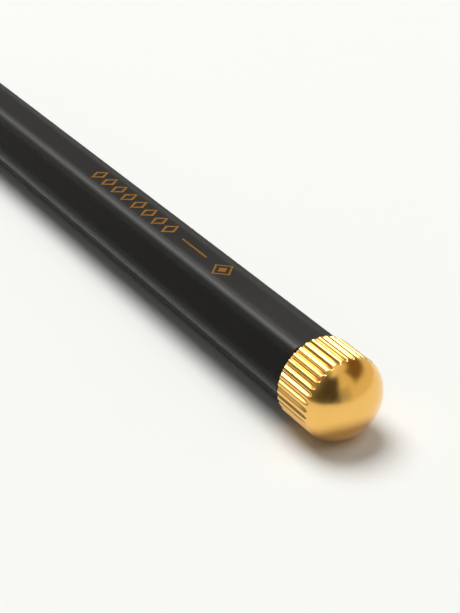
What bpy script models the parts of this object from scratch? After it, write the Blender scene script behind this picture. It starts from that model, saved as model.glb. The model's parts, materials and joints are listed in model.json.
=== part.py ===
"""Hexagonal twist ballpoint pen, lying on one flat of its barrel, with its point drawn in.

The pen's axis runs along X: the nose is at -X and the turning knob at +X. The origin is under the
middle of the pen, on the surface that the knob touches. Turned pieces are drawn as outlines of
(place along the axis, radius) and swept round the axis.
"""
import math

import bmesh
import bpy
from mathutils import Matrix, Vector

MM = 0.001

# Whole pen
PEN_LENGTH = 138.0 * MM         # nose mouth to top of the dome, point drawn in
TRAVEL = 5.0 * MM               # how far the refill comes forward
TWIST_ANGLE = math.radians(180.0)

# Fits
PRESS_GAP = 0.03 * MM           # radial room of pieces that are pressed or screwed together
RUNNING_GAP = 0.06 * MM         # radial room of pieces that turn or slide in each other
FACE_GAP = 0.03 * MM            # room between end faces that meet

# Barrel
BARREL_BORE = 6.3 * MM
BARREL_WALL = 0.95 * MM         # from the bore to a flat
BARREL_EDGE_RADIUS = 1.0 * MM   # rounding of the six long edges
BARREL_END_CHAMFER = 0.08 * MM  # turned off the edges at the knob's end
BARREL_TAPER_LENGTH = 9.0 * MM  # where the edges are turned down to meet the nose
EDGE_STEPS = 6                  # facets of each rounded edge

# Nose
NOSE_LENGTH = 14.0 * MM
NOSE_BASE_SETBACK = 0.25 * MM   # how far the nose's base lies inside the flats
NOSE_MOUTH_WALL = 0.35 * MM
NOSE_MOUTH_CHAMFER = 0.15 * MM
NOSE_BOW = 0.45 * MM            # how far the nose swells beyond a straight cone
NOSE_SPIGOT_LENGTH = 6.0 * MM
NOSE_SPIGOT_WALL = 0.42 * MM
NOSE_FLOOR_ROOM = 0.6 * MM      # left ahead of the refill's shoulder when the point is out
NOSE_STEPS = 10                 # facets along the cone

# Turning knob
KNOB_PROUD = 0.63 * MM          # how far the knob stands out from the flats
KNOB_GAP = 0.15 * MM            # open line between barrel and knob
KNOB_BACK_CHAMFER = 0.18 * MM
TOOTH_LENGTH = 4.92 * MM        # back face to where the dome cuts off the teeth between the grooves
DOME_RIM_SLOPE = math.radians(18.0)     # of the dome against the axis, at the teeth
DOME_SHOULDER_RADIUS = 3.9 * MM
DOME_CROWN_SLOPE = math.radians(52.0)   # where the shoulder runs into the crown
GROOVE_COUNT = 34
GROOVE_DEPTH = 0.24 * MM        # right-angled grooves, so also half their width
GROOVE_LEVEL = 4.4 * MM         # back face to where the grooves' floors start to rise
GROOVE_RISE = 1.35 * MM         # length in which a floor would rise to the teeth's tops
GROOVE_LIFT = 0.08 * MM         # how far the cutter's middle lies outside the knob
GROOVE_BAR_SIDES = 4
KNOB_STEPS = 2 * GROOVE_COUNT
DOME_SHOULDER_STEPS = 6
DOME_CROWN_STEPS = 7

# Twist mechanism
FLANGE_RIM = 0.4 * MM           # how far the bush's flange stands out past the bore
FLANGE_THICKNESS = 0.6 * MM
FLANGE_SETBACK = 0.05 * MM      # how far the flange lies inside the barrel's end
BUSH_LENGTH = 4.0 * MM
BUSH_NOSE_LENGTH = 1.5 * MM
SPINDLE_DIAMETER = 3.0 * MM
SPINDLE_GRIP = 4.2 * MM         # length held in the knob, and in the cam
SPINDLE_CHAMFER = 0.2 * MM
KNOB_WASHER_THICKNESS = 0.3 * MM
KNOB_WASHER_RIM = 1.6 * MM
THRUST_WASHER_THICKNESS = 0.3 * MM
O_RING_CORD = 0.5 * MM
O_RING_PLACE = 2.2 * MM         # from the barrel's end
GUIDE_WALL = 0.4 * MM
GUIDE_FRONT_LAND = 2.2 * MM     # sleeve ahead of the retaining ring
CAM_WALL = 0.55 * MM
CAM_WEB = 0.8 * MM              # between the cam's bore and the spindle's socket
CAM_END_LAND = 2.0 * MM         # cam ahead of its slots
PLUNGER_TAIL = 2.0 * MM         # plunger behind the pin
PLUNGER_TAIL_ROOM = 0.8 * MM
PLUNGER_REACH = 15.7 * MM       # pin to the face that meets the refill
PLUNGER_HEAD_RIM = 0.7 * MM
PLUNGER_HEAD_THICKNESS = 1.4 * MM
PIN_DIAMETER = 0.9 * MM
PIN_CHAMFER = 0.1 * MM
SLOT_GAP = 0.08 * MM            # room round the pin in its slots
RING_THICKNESS = 0.5 * MM
RING_GROOVE_DEPTH = 0.18 * MM
RING_OPENING = math.radians(50.0)
HELIX_STEPS = 24
PIN_STEPS = 16
SLOT_END_STEPS = 8
O_RING_STEPS = 8

# Refill
REFILL_GAP = 0.2 * MM           # radial room of the refill in the barrel
TUBE_WALL = 0.3 * MM
TIP_RECESS = 1.8 * MM           # ball behind the nose's mouth
NECK_LENGTH = 16.0 * MM         # ball to the shoulder that the spring pushes
NECK_DIAMETER = 3.0 * MM
SHOULDER_CHAMFER = 0.5 * MM
COUPLING_SPIGOT = 4.0 * MM
POINT_LENGTH = 10.0 * MM
POINT_DIAMETER = 2.3 * MM
POINT_CONE_LENGTH = 2.6 * MM
POINT_TAIL_LENGTH = 3.0 * MM
POINT_TAIL_DIAMETER = 1.7 * MM
POINT_GAP = 0.1 * MM            # radial room of the point in the nose's mouth
INK_CHANNEL = 0.6 * MM
BALL_DIAMETER = 1.0 * MM
BALL_GAP = 0.025 * MM
BALL_SHOW = 0.28 * MM           # how far the ball stands out of its seat
SEAT_LIP = 0.14 * MM
BALL_SEGMENTS = 16
BALL_RINGS = 10
INK_AIR = 9.8 * MM              # air left between the ink and the end plug
PLUG_HEAD_THICKNESS = 1.2 * MM
PLUG_SPIGOT_LENGTH = 4.5 * MM
PLUG_VENT = 0.8 * MM

# Return spring
SPRING_SEAT_DEPTH = 5.5 * MM    # nose mouth to the spring's seat
SPRING_WIRE = 0.4 * MM
SPRING_NECK_ROOM = 0.3 * MM     # between the refill's neck and the wire
SPRING_ROOM = 0.2 * MM          # between the wire and the nose
SPRING_CURLS = 10
POINTS_A_CURL = 9

CASE_STEPS = 48                 # sides of round shapes in the barrel and nose
INNER_STEPS = 32                # sides of other round pieces
SHARP_ANGLE = math.radians(28.0)
OVERRUN = 1.0 * MM              # how far cutters reach past what they cut
MERGE_DISTANCE = 0.001 * MM     # points nearer than this are one point
EMPTY_SIZE = 5.0 * MM

# Radii, from the bore outward and inward
BORE_R = BARREL_BORE / 2
FLAT_R = BORE_R + BARREL_WALL
CORNER_R = (FLAT_R - BARREL_EDGE_RADIUS) / math.cos(math.pi / 6) + BARREL_EDGE_RADIUS
KNOB_R = FLAT_R + KNOB_PROUD
DOME_SHOULDER_R = KNOB_R - DOME_SHOULDER_RADIUS * math.cos(DOME_RIM_SLOPE)
CROWN_RADIUS = DOME_SHOULDER_RADIUS + DOME_SHOULDER_R / math.cos(DOME_CROWN_SLOPE)
NOSE_BASE_R = FLAT_R - NOSE_BASE_SETBACK
GUIDE_R = BORE_R - PRESS_GAP
GUIDE_BORE_R = GUIDE_R - GUIDE_WALL
CAM_R = GUIDE_BORE_R - RUNNING_GAP
CAM_BORE_R = CAM_R - CAM_WALL
PLUNGER_R = CAM_BORE_R - RUNNING_GAP
SPINDLE_R = SPINDLE_DIAMETER / 2
PIN_R = PIN_DIAMETER / 2
SLOT_R = PIN_R + SLOT_GAP
REFILL_R = BORE_R - REFILL_GAP
TUBE_BORE_R = REFILL_R - TUBE_WALL
NECK_R = NECK_DIAMETER / 2
POINT_R = POINT_DIAMETER / 2
POINT_TAIL_R = POINT_TAIL_DIAMETER / 2
BALL_R = BALL_DIAMETER / 2
SPIGOT_BORE_R = REFILL_R + RUNNING_GAP
SPIGOT_R = SPIGOT_BORE_R + NOSE_SPIGOT_WALL
SOCKET_R = SPIGOT_R + PRESS_GAP
MOUTH_BORE_R = POINT_R + POINT_GAP
MOUTH_R = MOUTH_BORE_R + NOSE_MOUTH_WALL
SPRING_R = NECK_R + SPRING_NECK_ROOM + SPRING_WIRE / 2
SPRING_BORE_R = SPRING_R + SPRING_WIRE / 2 + SPRING_ROOM
FLANGE_R = BORE_R + FLANGE_RIM
AXIS_HEIGHT = math.sqrt(KNOB_R ** 2 - GROOVE_DEPTH ** 2)

# Places along the axis, from the knob forward
DOME_SHOULDER_X = TOOTH_LENGTH - DOME_SHOULDER_RADIUS * math.sin(DOME_RIM_SLOPE)
CROWN_START = DOME_SHOULDER_X + DOME_SHOULDER_RADIUS * math.sin(DOME_CROWN_SLOPE)
KNOB_LENGTH = CROWN_START + CROWN_RADIUS * (1 - math.sin(DOME_CROWN_SLOPE))
KNOB_BACK = PEN_LENGTH / 2 - KNOB_LENGTH
BARREL_REAR = KNOB_BACK - KNOB_GAP
FLANGE_REAR = BARREL_REAR - FLANGE_SETBACK
FLANGE_SEAT = FLANGE_REAR - FLANGE_THICKNESS
WASHER_REAR = FLANGE_REAR + FACE_GAP + KNOB_WASHER_THICKNESS
BUSH_FRONT = FLANGE_SEAT - BUSH_LENGTH
BUSH_NOSE_FRONT = BUSH_FRONT - BUSH_NOSE_LENGTH
CAM_REAR = BUSH_NOSE_FRONT - THRUST_WASHER_THICKNESS - 2 * FACE_GAP
CAM_SOCKET_FLOOR = CAM_REAR - SPINDLE_GRIP
CAM_BORE_FLOOR = CAM_SOCKET_FLOOR - CAM_WEB
PIN_X = CAM_BORE_FLOOR - PLUNGER_TAIL_ROOM - PLUNGER_TAIL
PIN_OUT_X = PIN_X - TRAVEL
CAM_FRONT = PIN_OUT_X - SLOT_R - CAM_END_LAND
RING_REAR = CAM_FRONT - FACE_GAP
RING_FRONT = RING_REAR - RING_THICKNESS
GUIDE_FRONT = RING_FRONT - GUIDE_FRONT_LAND
PLUNGER_FRONT = PIN_X - PLUNGER_REACH
REFILL_REAR = PLUNGER_FRONT - FACE_GAP

# Places along the axis, from the nose backward
MOUTH_X = -PEN_LENGTH / 2
BARREL_FRONT = MOUTH_X + NOSE_LENGTH
SPIGOT_REAR = BARREL_FRONT + NOSE_SPIGOT_LENGTH
SPRING_SEAT_X = MOUTH_X + SPRING_SEAT_DEPTH
TIP_X = MOUTH_X + TIP_RECESS
BALL_X = TIP_X + BALL_R
POINT_REAR = TIP_X + POINT_LENGTH
SHOULDER_X = TIP_X + NECK_LENGTH
NOSE_FLOOR_X = SHOULDER_X - TRAVEL - NOSE_FLOOR_ROOM
TUBE_FRONT = SHOULDER_X + SHOULDER_CHAMFER + FACE_GAP
COUPLING_REAR = TUBE_FRONT + COUPLING_SPIGOT
PLUG_SEAT = REFILL_REAR - PLUG_HEAD_THICKNESS
TUBE_REAR = PLUG_SEAT - FACE_GAP


def clear_scene():
    for old in list(bpy.data.objects):
        bpy.data.objects.remove(old, do_unlink=True)


def new_collection(name):
    collection = bpy.data.collections.new(name)
    bpy.context.scene.collection.children.link(collection)
    return collection


def axis_empty(name, collection):
    """An empty on the pen's axis whose own Z runs along the pen."""
    empty = bpy.data.objects.new(name, None)
    empty.location = (0.0, 0.0, AXIS_HEIGHT)
    empty.rotation_euler = (0.0, math.pi / 2, 0.0)
    empty.empty_display_size = EMPTY_SIZE
    collection.objects.link(empty)
    return empty


def finish_material(name, color, roughness, metallic):
    material = bpy.data.materials.new(name)
    material.use_nodes = True
    shader = material.node_tree.nodes["Principled BSDF"]
    shader.inputs["Base Color"].default_value = (*color, 1.0)
    shader.inputs["Roughness"].default_value = roughness
    shader.inputs["Metallic"].default_value = metallic
    material.diffuse_color = (*color, 1.0)
    return material


def evaluated_mesh(obj):
    depsgraph = bpy.context.evaluated_depsgraph_get()
    return bpy.data.meshes.new_from_object(obj.evaluated_get(depsgraph))


def turned(name, outline, parent, collection, steps=INNER_STEPS, ring=True):
    """Sweep an outline of (place, radius) round the axis. It runs down its outer side, rear to nose.

    A ring's outline closes on itself; any other outline starts and ends on the axis.
    """
    mesh = bpy.data.meshes.new(name)
    points = [(radius, 0.0, place) for place, radius in outline]
    edges = [(i, i + 1) for i in range(len(points) - 1)]
    if ring:
        edges.append((len(points) - 1, 0))
    mesh.from_pydata(points, edges, [])
    obj = bpy.data.objects.new(name, mesh)
    collection.objects.link(obj)
    obj.parent = parent
    screw = obj.modifiers.new("turn", "SCREW")
    screw.axis = "Z"
    screw.steps = steps
    screw.render_steps = steps
    screw.use_merge_vertices = True
    screw.merge_threshold = MERGE_DISTANCE
    return obj


def make_cutter(obj):
    obj.hide_render = True
    obj.display_type = "WIRE"
    return obj


def combine(obj, other, operation="DIFFERENCE"):
    boolean = obj.modifiers.new(other.name, "BOOLEAN")
    boolean.operation = operation
    boolean.solver = "EXACT"
    boolean.object = other


def flat_outline(name, points, thickness, parent, collection):
    """A flat closed outline, extruded to both sides of its plane, as a mesh."""
    curve = bpy.data.curves.new(name, "CURVE")
    curve.dimensions = "2D"
    curve.fill_mode = "BOTH"
    curve.extrude = thickness / 2
    spline = curve.splines.new("POLY")
    spline.points.add(len(points) - 1)
    for point, (x, y) in zip(spline.points, points):
        point.co = (x, y, 0.0, 1.0)
    spline.use_cyclic_u = True
    return curve_as_mesh(name, curve, parent, collection)


def curve_as_mesh(name, curve, parent, collection):
    drawn = bpy.data.objects.new(name + "_curve", curve)
    collection.objects.link(drawn)
    mesh = evaluated_mesh(drawn)
    bpy.data.objects.remove(drawn, do_unlink=True)
    solid = bmesh.new()
    solid.from_mesh(mesh)
    bmesh.ops.remove_doubles(solid, verts=solid.verts, dist=MERGE_DISTANCE)
    bmesh.ops.recalc_face_normals(solid, faces=solid.faces)
    solid.to_mesh(mesh)
    solid.free()
    mesh.name = name
    obj = bpy.data.objects.new(name, mesh)
    collection.objects.link(obj)
    obj.parent = parent
    return obj


def arc(centre, radius, start, end, steps):
    """Points (place, radius) on an arc, with angles measured from the axis."""
    points = []
    for i in range(steps + 1):
        angle = start + (end - start) * i / steps
        points.append((centre[0] + radius * math.cos(angle), centre[1] + radius * math.sin(angle)))
    return points


def bowed(start, end, bow, steps):
    """Points (place, radius) from start to end that swell out by bow at the middle."""
    points = []
    for i in range(steps + 1):
        t = i / steps
        radius = start[1] + (end[1] - start[1]) * t + bow * 4.0 * t * (1.0 - t)
        points.append((start[0] + (end[0] - start[0]) * t, radius))
    return points


def hexagon_points():
    """Hexagon with rounded corners, with two flats square to the outline's own X."""
    centre_r = (FLAT_R - BARREL_EDGE_RADIUS) / math.cos(math.pi / 6)
    points = []
    for side in range(6):
        middle = math.pi / 6 + side * math.pi / 3
        for step in range(EDGE_STEPS + 1):
            angle = (side + step / EDGE_STEPS) * math.pi / 3
            points.append((centre_r * math.cos(middle) + BARREL_EDGE_RADIUS * math.cos(angle),
                           centre_r * math.sin(middle) + BARREL_EDGE_RADIUS * math.sin(angle)))
    return points


def make_barrel(frame, parts, cutters):
    """Hexagonal bar, turned down at both ends and bored right through."""
    length = BARREL_REAR - BARREL_FRONT
    barrel = flat_outline("barrel", hexagon_points(), length + 2 * OVERRUN, frame, parts)
    barrel.location = (0.0, 0.0, (BARREL_REAR + BARREL_FRONT) / 2)
    clear_r = CORNER_R + OVERRUN
    taper_slope = (CORNER_R - NOSE_BASE_R) / BARREL_TAPER_LENGTH
    turned_ends = turned("barrel_turned_ends", [
        (BARREL_REAR, 0.0),
        (BARREL_REAR, CORNER_R - BARREL_END_CHAMFER),
        (BARREL_REAR - BARREL_END_CHAMFER - OVERRUN, clear_r),
        (BARREL_FRONT + (clear_r - NOSE_BASE_R) / taper_slope, clear_r),
        (BARREL_FRONT, NOSE_BASE_R),
        (BARREL_FRONT, 0.0),
    ], frame, cutters, CASE_STEPS, ring=False)
    combine(barrel, make_cutter(turned_ends), "INTERSECT")
    bore = turned("barrel_bore", [
        (BARREL_REAR + OVERRUN, 0.0),
        (BARREL_REAR + OVERRUN, FLANGE_R + PRESS_GAP),
        (FLANGE_SEAT - FACE_GAP, FLANGE_R + PRESS_GAP),
        (FLANGE_SEAT - FACE_GAP, BORE_R),
        (SPIGOT_REAR + FACE_GAP, BORE_R),
        (SPIGOT_REAR + FACE_GAP, SOCKET_R),
        (BARREL_FRONT - OVERRUN, SOCKET_R),
        (BARREL_FRONT - OVERRUN, 0.0),
    ], frame, cutters, CASE_STEPS, ring=False)
    combine(barrel, make_cutter(bore))
    return barrel


def make_nose_cone(frame, parts):
    """Swelling cone with a spigot that screws into the barrel and a seat for the spring."""
    base_x = BARREL_FRONT - FACE_GAP
    flank = bowed((base_x, NOSE_BASE_R), (MOUTH_X + NOSE_MOUTH_CHAMFER, MOUTH_R), NOSE_BOW, NOSE_STEPS)
    outline = [
        (SPIGOT_REAR, SPIGOT_R),
        (base_x, SPIGOT_R),
        *flank,
        (MOUTH_X, MOUTH_R - NOSE_MOUTH_CHAMFER),
        (MOUTH_X, MOUTH_BORE_R),
        (SPRING_SEAT_X, MOUTH_BORE_R),
        (SPRING_SEAT_X, SPRING_BORE_R),
        (NOSE_FLOOR_X, SPRING_BORE_R),
        (NOSE_FLOOR_X, SPIGOT_BORE_R),
        (SPIGOT_REAR, SPIGOT_BORE_R),
    ]
    return turned("nose_cone", outline, frame, parts, CASE_STEPS)


def make_bearing_bush(frame, parts):
    """Flanged bush in the barrel's end that carries the spindle and the guide sleeve."""
    bore_r = SPINDLE_R + RUNNING_GAP
    return turned("bearing_bush", [
        (FLANGE_REAR, bore_r),
        (FLANGE_REAR, FLANGE_R),
        (FLANGE_SEAT, FLANGE_R),
        (FLANGE_SEAT, GUIDE_R),
        (BUSH_FRONT, GUIDE_R),
        (BUSH_FRONT, GUIDE_BORE_R - PRESS_GAP),
        (BUSH_NOSE_FRONT, GUIDE_BORE_R - PRESS_GAP),
        (BUSH_NOSE_FRONT, bore_r),
    ], frame, parts)


def make_guide_sleeve(frame, parts, cutters):
    """Thin tube with two straight slots for the pin and a groove for the retaining ring."""
    groove_r = GUIDE_BORE_R + RING_GROOVE_DEPTH + PRESS_GAP
    rear = BUSH_FRONT - FACE_GAP
    sleeve = turned("guide_sleeve", [
        (rear, GUIDE_R),
        (GUIDE_FRONT, GUIDE_R),
        (GUIDE_FRONT, GUIDE_BORE_R),
        (RING_FRONT - FACE_GAP, GUIDE_BORE_R),
        (RING_FRONT - FACE_GAP, groove_r),
        (RING_REAR + FACE_GAP, groove_r),
        (RING_REAR + FACE_GAP, GUIDE_BORE_R),
        (rear, GUIDE_BORE_R),
    ], frame, parts)
    slot_points = []
    for end_x, first in ((PIN_X, -math.pi / 2), (PIN_OUT_X, math.pi / 2)):
        for place, side in arc((end_x, 0.0), SLOT_R, first, first + math.pi, SLOT_END_STEPS):
            slot_points.append((side, place))
    slot = flat_outline("guide_slot", slot_points, 2 * (GUIDE_R + OVERRUN), frame, cutters)
    # The outline's plane is turned so that the slot runs along the pen and cuts across it
    slot.data.transform(Matrix.Rotation(math.pi / 2, 4, "X"))
    combine(sleeve, make_cutter(slot))
    return sleeve


def make_retaining_ring(frame, parts, cutters):
    """Spring ring, open on one side, that keeps the cam in the guide sleeve."""
    ring_bore_r = PLUNGER_R + PRESS_GAP + RUNNING_GAP
    ring = turned("retaining_ring", [
        (RING_REAR, GUIDE_BORE_R + RING_GROOVE_DEPTH),
        (RING_FRONT, GUIDE_BORE_R + RING_GROOVE_DEPTH),
        (RING_FRONT, ring_bore_r),
        (RING_REAR, ring_bore_r),
    ], frame, parts)
    reach = GUIDE_R + OVERRUN
    half = RING_OPENING / 2
    wedge = [(0.0, 0.0), (reach * math.cos(-half), reach * math.sin(-half)),
             (reach * math.cos(half), reach * math.sin(half))]
    gap = flat_outline("ring_opening", wedge, RING_THICKNESS + OVERRUN, frame, cutters)
    gap.location = (0.0, 0.0, (RING_REAR + RING_FRONT) / 2)
    combine(ring, make_cutter(gap))
    return ring


def make_washer(name, rear, thickness, bore_r, outer_r, frame, parts):
    return turned(name, [
        (rear, outer_r),
        (rear - thickness, outer_r),
        (rear - thickness, bore_r),
        (rear, bore_r),
    ], frame, parts)


def groove_cutters(frame, cutters):
    """Square bars with pointed ends, set edgeways in a ring round the knob."""
    bar_r = GROOVE_DEPTH + GROOVE_LIFT
    level_x = KNOB_BACK + GROOVE_LEVEL
    bar = turned("groove_bar", [
        (level_x + GROOVE_RISE * bar_r / GROOVE_DEPTH, 0.0),
        (level_x, bar_r),
        (KNOB_BACK - OVERRUN, bar_r),
        (KNOB_BACK - OVERRUN, 0.0),
    ], None, cutters, GROOVE_BAR_SIDES, ring=False)
    bar_mesh = evaluated_mesh(bar)
    bpy.data.objects.remove(bar, do_unlink=True)
    ring = bmesh.new()
    for groove in range(GROOVE_COUNT):
        turn = Matrix.Rotation(2 * math.pi * groove / GROOVE_COUNT, 4, "Z")
        copy = bar_mesh.copy()
        copy.transform(turn @ Matrix.Translation((KNOB_R + GROOVE_LIFT, 0.0, 0.0)))
        ring.from_mesh(copy)
    mesh = bpy.data.meshes.new("knob_grooves")
    ring.to_mesh(mesh)
    ring.free()
    grooves = bpy.data.objects.new("knob_grooves", mesh)
    cutters.objects.link(grooves)
    grooves.parent = frame
    return make_cutter(grooves)


def make_twist_knob(axis, parts, cutters):
    """Grooved cap with a domed end, bored for the spindle and recessed for its washer.

    The dome is a round shoulder that runs smoothly into a flatter crown.
    """
    meet = math.pi / 2 - DOME_CROWN_SLOPE
    rim = math.pi / 2 - DOME_RIM_SLOPE
    top_x = KNOB_BACK + KNOB_LENGTH
    crown = arc((top_x - CROWN_RADIUS, 0.0), CROWN_RADIUS, 0.0, meet, DOME_CROWN_STEPS)
    shoulder = arc((KNOB_BACK + DOME_SHOULDER_X, DOME_SHOULDER_R), DOME_SHOULDER_RADIUS, meet, rim,
                   DOME_SHOULDER_STEPS)
    recess_x = WASHER_REAR + FACE_GAP
    socket_r = SPINDLE_R + PRESS_GAP
    outline = [
        (top_x, 0.0),
        *crown[1:],
        *shoulder[1:],
        (KNOB_BACK + KNOB_BACK_CHAMFER, KNOB_R),
        (KNOB_BACK, KNOB_R - KNOB_BACK_CHAMFER),
        (KNOB_BACK, SPINDLE_R + KNOB_WASHER_RIM + 2 * RUNNING_GAP),
        (recess_x, SPINDLE_R + KNOB_WASHER_RIM + 2 * RUNNING_GAP),
        (recess_x, socket_r),
        (recess_x + SPINDLE_GRIP + FACE_GAP, socket_r),
        (recess_x + SPINDLE_GRIP + FACE_GAP, 0.0),
    ]
    knob = turned("twist_knob", outline, axis, parts, KNOB_STEPS, ring=False)
    combine(knob, groove_cutters(axis, cutters))
    return knob


def make_knob_spindle(axis, parts):
    """Pin that joins knob and cam, with a groove for the friction ring."""
    rear = WASHER_REAR + FACE_GAP + SPINDLE_GRIP
    front = CAM_SOCKET_FLOOR + FACE_GAP
    groove_x = BARREL_REAR - O_RING_PLACE
    groove_half = O_RING_CORD / 2 + FACE_GAP
    groove_r = SPINDLE_R + RUNNING_GAP - PRESS_GAP - O_RING_CORD - PRESS_GAP
    return turned("knob_spindle", [
        (rear, 0.0),
        (rear, SPINDLE_R - SPINDLE_CHAMFER),
        (rear - SPINDLE_CHAMFER, SPINDLE_R),
        (groove_x + groove_half, SPINDLE_R),
        (groove_x + groove_half, groove_r),
        (groove_x - groove_half, groove_r),
        (groove_x - groove_half, SPINDLE_R),
        (front + SPINDLE_CHAMFER, SPINDLE_R),
        (front, SPINDLE_R - SPINDLE_CHAMFER),
        (front, 0.0),
    ], axis, parts, ring=False)


def make_friction_o_ring(axis, parts):
    """Rubber ring in the spindle's groove that gives the knob its drag."""
    cord_r = O_RING_CORD / 2
    centre_r = SPINDLE_R + RUNNING_GAP - PRESS_GAP - cord_r
    section = arc((BARREL_REAR - O_RING_PLACE, centre_r), cord_r, 0.0, 2 * math.pi, O_RING_STEPS)
    return turned("friction_o_ring", section[:-1], axis, parts)


def helix_cutter(name, start_angle, axis, cutters):
    """Bar swept along the helix, wide enough for the pin where the helix is steepest."""
    steepest = math.atan2(TRAVEL, TWIST_ANGLE * CAM_BORE_R)
    half_width = SLOT_R / math.cos(steepest)
    inner = CAM_BORE_R - RUNNING_GAP / 2
    outer = CAM_R + OVERRUN
    mesh = bpy.data.meshes.new(name)
    mesh.from_pydata([(inner, 0.0, half_width), (outer, 0.0, half_width),
                      (outer, 0.0, -half_width), (inner, 0.0, -half_width)],
                     [(0, 1), (1, 2), (2, 3), (3, 0)], [])
    bar = bpy.data.objects.new(name, mesh)
    cutters.objects.link(bar)
    sweep = bar.modifiers.new("sweep", "SCREW")
    sweep.axis = "Z"
    sweep.angle = TWIST_ANGLE
    sweep.screw_offset = -TRAVEL
    sweep.steps = HELIX_STEPS
    sweep.render_steps = HELIX_STEPS
    swept = evaluated_mesh(bar)
    bpy.data.objects.remove(bar, do_unlink=True)
    solid = bmesh.new()
    solid.from_mesh(swept)
    bmesh.ops.holes_fill(solid, edges=solid.edges)
    bmesh.ops.recalc_face_normals(solid, faces=solid.faces)
    solid.to_mesh(swept)
    solid.free()
    cutter = bpy.data.objects.new(name, swept)
    cutters.objects.link(cutter)
    cutter.parent = axis
    cutter.location = (0.0, 0.0, PIN_X)
    cutter.rotation_euler = (0.0, 0.0, start_angle)
    return make_cutter(cutter)


def cross_cylinder(name, place, radius, half_length, chamfer, parent, collection):
    """Round bar across the pen, level with the surface that the pen lies on."""
    bar = turned(name, [
        (half_length, 0.0),
        (half_length, radius - chamfer),
        (half_length - chamfer, radius),
        (chamfer - half_length, radius),
        (-half_length, radius - chamfer),
        (-half_length, 0.0),
    ], parent, collection, PIN_STEPS, ring=False)
    bar.location = (0.0, 0.0, place)
    bar.rotation_euler = (math.pi / 2, 0.0, 0.0)
    return bar


def make_cam_sleeve(axis, parts, cutters):
    """Cam with two helical slots that drive the pin forward as it turns."""
    socket_r = SPINDLE_R + PRESS_GAP
    cam = turned("cam_sleeve", [
        (CAM_SOCKET_FLOOR, 0.0),
        (CAM_SOCKET_FLOOR, socket_r),
        (CAM_REAR, socket_r),
        (CAM_REAR, CAM_R),
        (CAM_FRONT, CAM_R),
        (CAM_FRONT, CAM_BORE_R),
        (CAM_BORE_FLOOR, CAM_BORE_R),
        (CAM_BORE_FLOOR, 0.0),
    ], axis, parts, ring=False)
    for side in (0, 1):
        start = math.pi / 2 + side * math.pi
        combine(cam, helix_cutter(f"cam_helix_{side}", start, axis, cutters))
    for name, place, turn in (("in", PIN_X, 0.0), ("out", PIN_OUT_X, TWIST_ANGLE)):
        end = cross_cylinder(f"cam_slot_end_{name}", place, SLOT_R, GUIDE_R + OVERRUN, 0.0, axis, cutters)
        end.rotation_euler = (math.pi / 2, 0.0, turn)
        combine(cam, make_cutter(end))
    return cam


def make_plunger(axis, parts, cutters):
    """Rod that the pin drives and that pushes on the refill's end."""
    head_r = PLUNGER_R + PLUNGER_HEAD_RIM
    plunger = turned("plunger", [
        (PIN_X + PLUNGER_TAIL, 0.0),
        (PIN_X + PLUNGER_TAIL, PLUNGER_R),
        (PLUNGER_FRONT + PLUNGER_HEAD_THICKNESS, PLUNGER_R),
        (PLUNGER_FRONT + PLUNGER_HEAD_THICKNESS, head_r),
        (PLUNGER_FRONT, head_r),
        (PLUNGER_FRONT, 0.0),
    ], axis, parts, ring=False)
    hole = cross_cylinder("plunger_hole", PIN_X, PIN_R + PRESS_GAP, PLUNGER_R + OVERRUN, 0.0, axis, cutters)
    combine(plunger, make_cutter(hole))
    return plunger


def make_refill_coupling(axis, parts):
    """Stepped front end of the refill: neck, spring shoulder and spigot in the tube."""
    tail_r = POINT_TAIL_R + PRESS_GAP
    tail_floor = POINT_REAR + POINT_TAIL_LENGTH + FACE_GAP
    neck_front = POINT_REAR + FACE_GAP
    return turned("refill_coupling", [
        (COUPLING_REAR, TUBE_BORE_R - PRESS_GAP),
        (TUBE_FRONT - FACE_GAP, TUBE_BORE_R - PRESS_GAP),
        (TUBE_FRONT - FACE_GAP, REFILL_R),
        (SHOULDER_X, REFILL_R - SHOULDER_CHAMFER),
        (SHOULDER_X, NECK_R),
        (neck_front, NECK_R),
        (neck_front, tail_r),
        (tail_floor, tail_r),
        (tail_floor, INK_CHANNEL / 2),
        (COUPLING_REAR, INK_CHANNEL / 2),
    ], axis, parts)


def make_refill_tube(axis, parts):
    return turned("refill_tube", [
        (TUBE_REAR, REFILL_R),
        (TUBE_FRONT, REFILL_R),
        (TUBE_FRONT, TUBE_BORE_R),
        (TUBE_REAR, TUBE_BORE_R),
    ], axis, parts)


def make_ink_column(axis, parts):
    front = COUPLING_REAR + FACE_GAP
    rear = PLUG_SEAT - PLUG_SPIGOT_LENGTH - INK_AIR
    return turned("ink_column", [
        (rear, 0.0),
        (rear, TUBE_BORE_R - PRESS_GAP),
        (front, TUBE_BORE_R - PRESS_GAP),
        (front, 0.0),
    ], axis, parts, ring=False)


def make_refill_end_plug(axis, parts):
    """Plastic stopper with an air vent along its middle."""
    return turned("refill_end_plug", [
        (REFILL_REAR, REFILL_R),
        (PLUG_SEAT, REFILL_R),
        (PLUG_SEAT, TUBE_BORE_R - PRESS_GAP),
        (PLUG_SEAT - PLUG_SPIGOT_LENGTH, TUBE_BORE_R - PRESS_GAP),
        (PLUG_SEAT - PLUG_SPIGOT_LENGTH, PLUG_VENT / 2),
        (REFILL_REAR, PLUG_VENT / 2),
    ], axis, parts)


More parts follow.
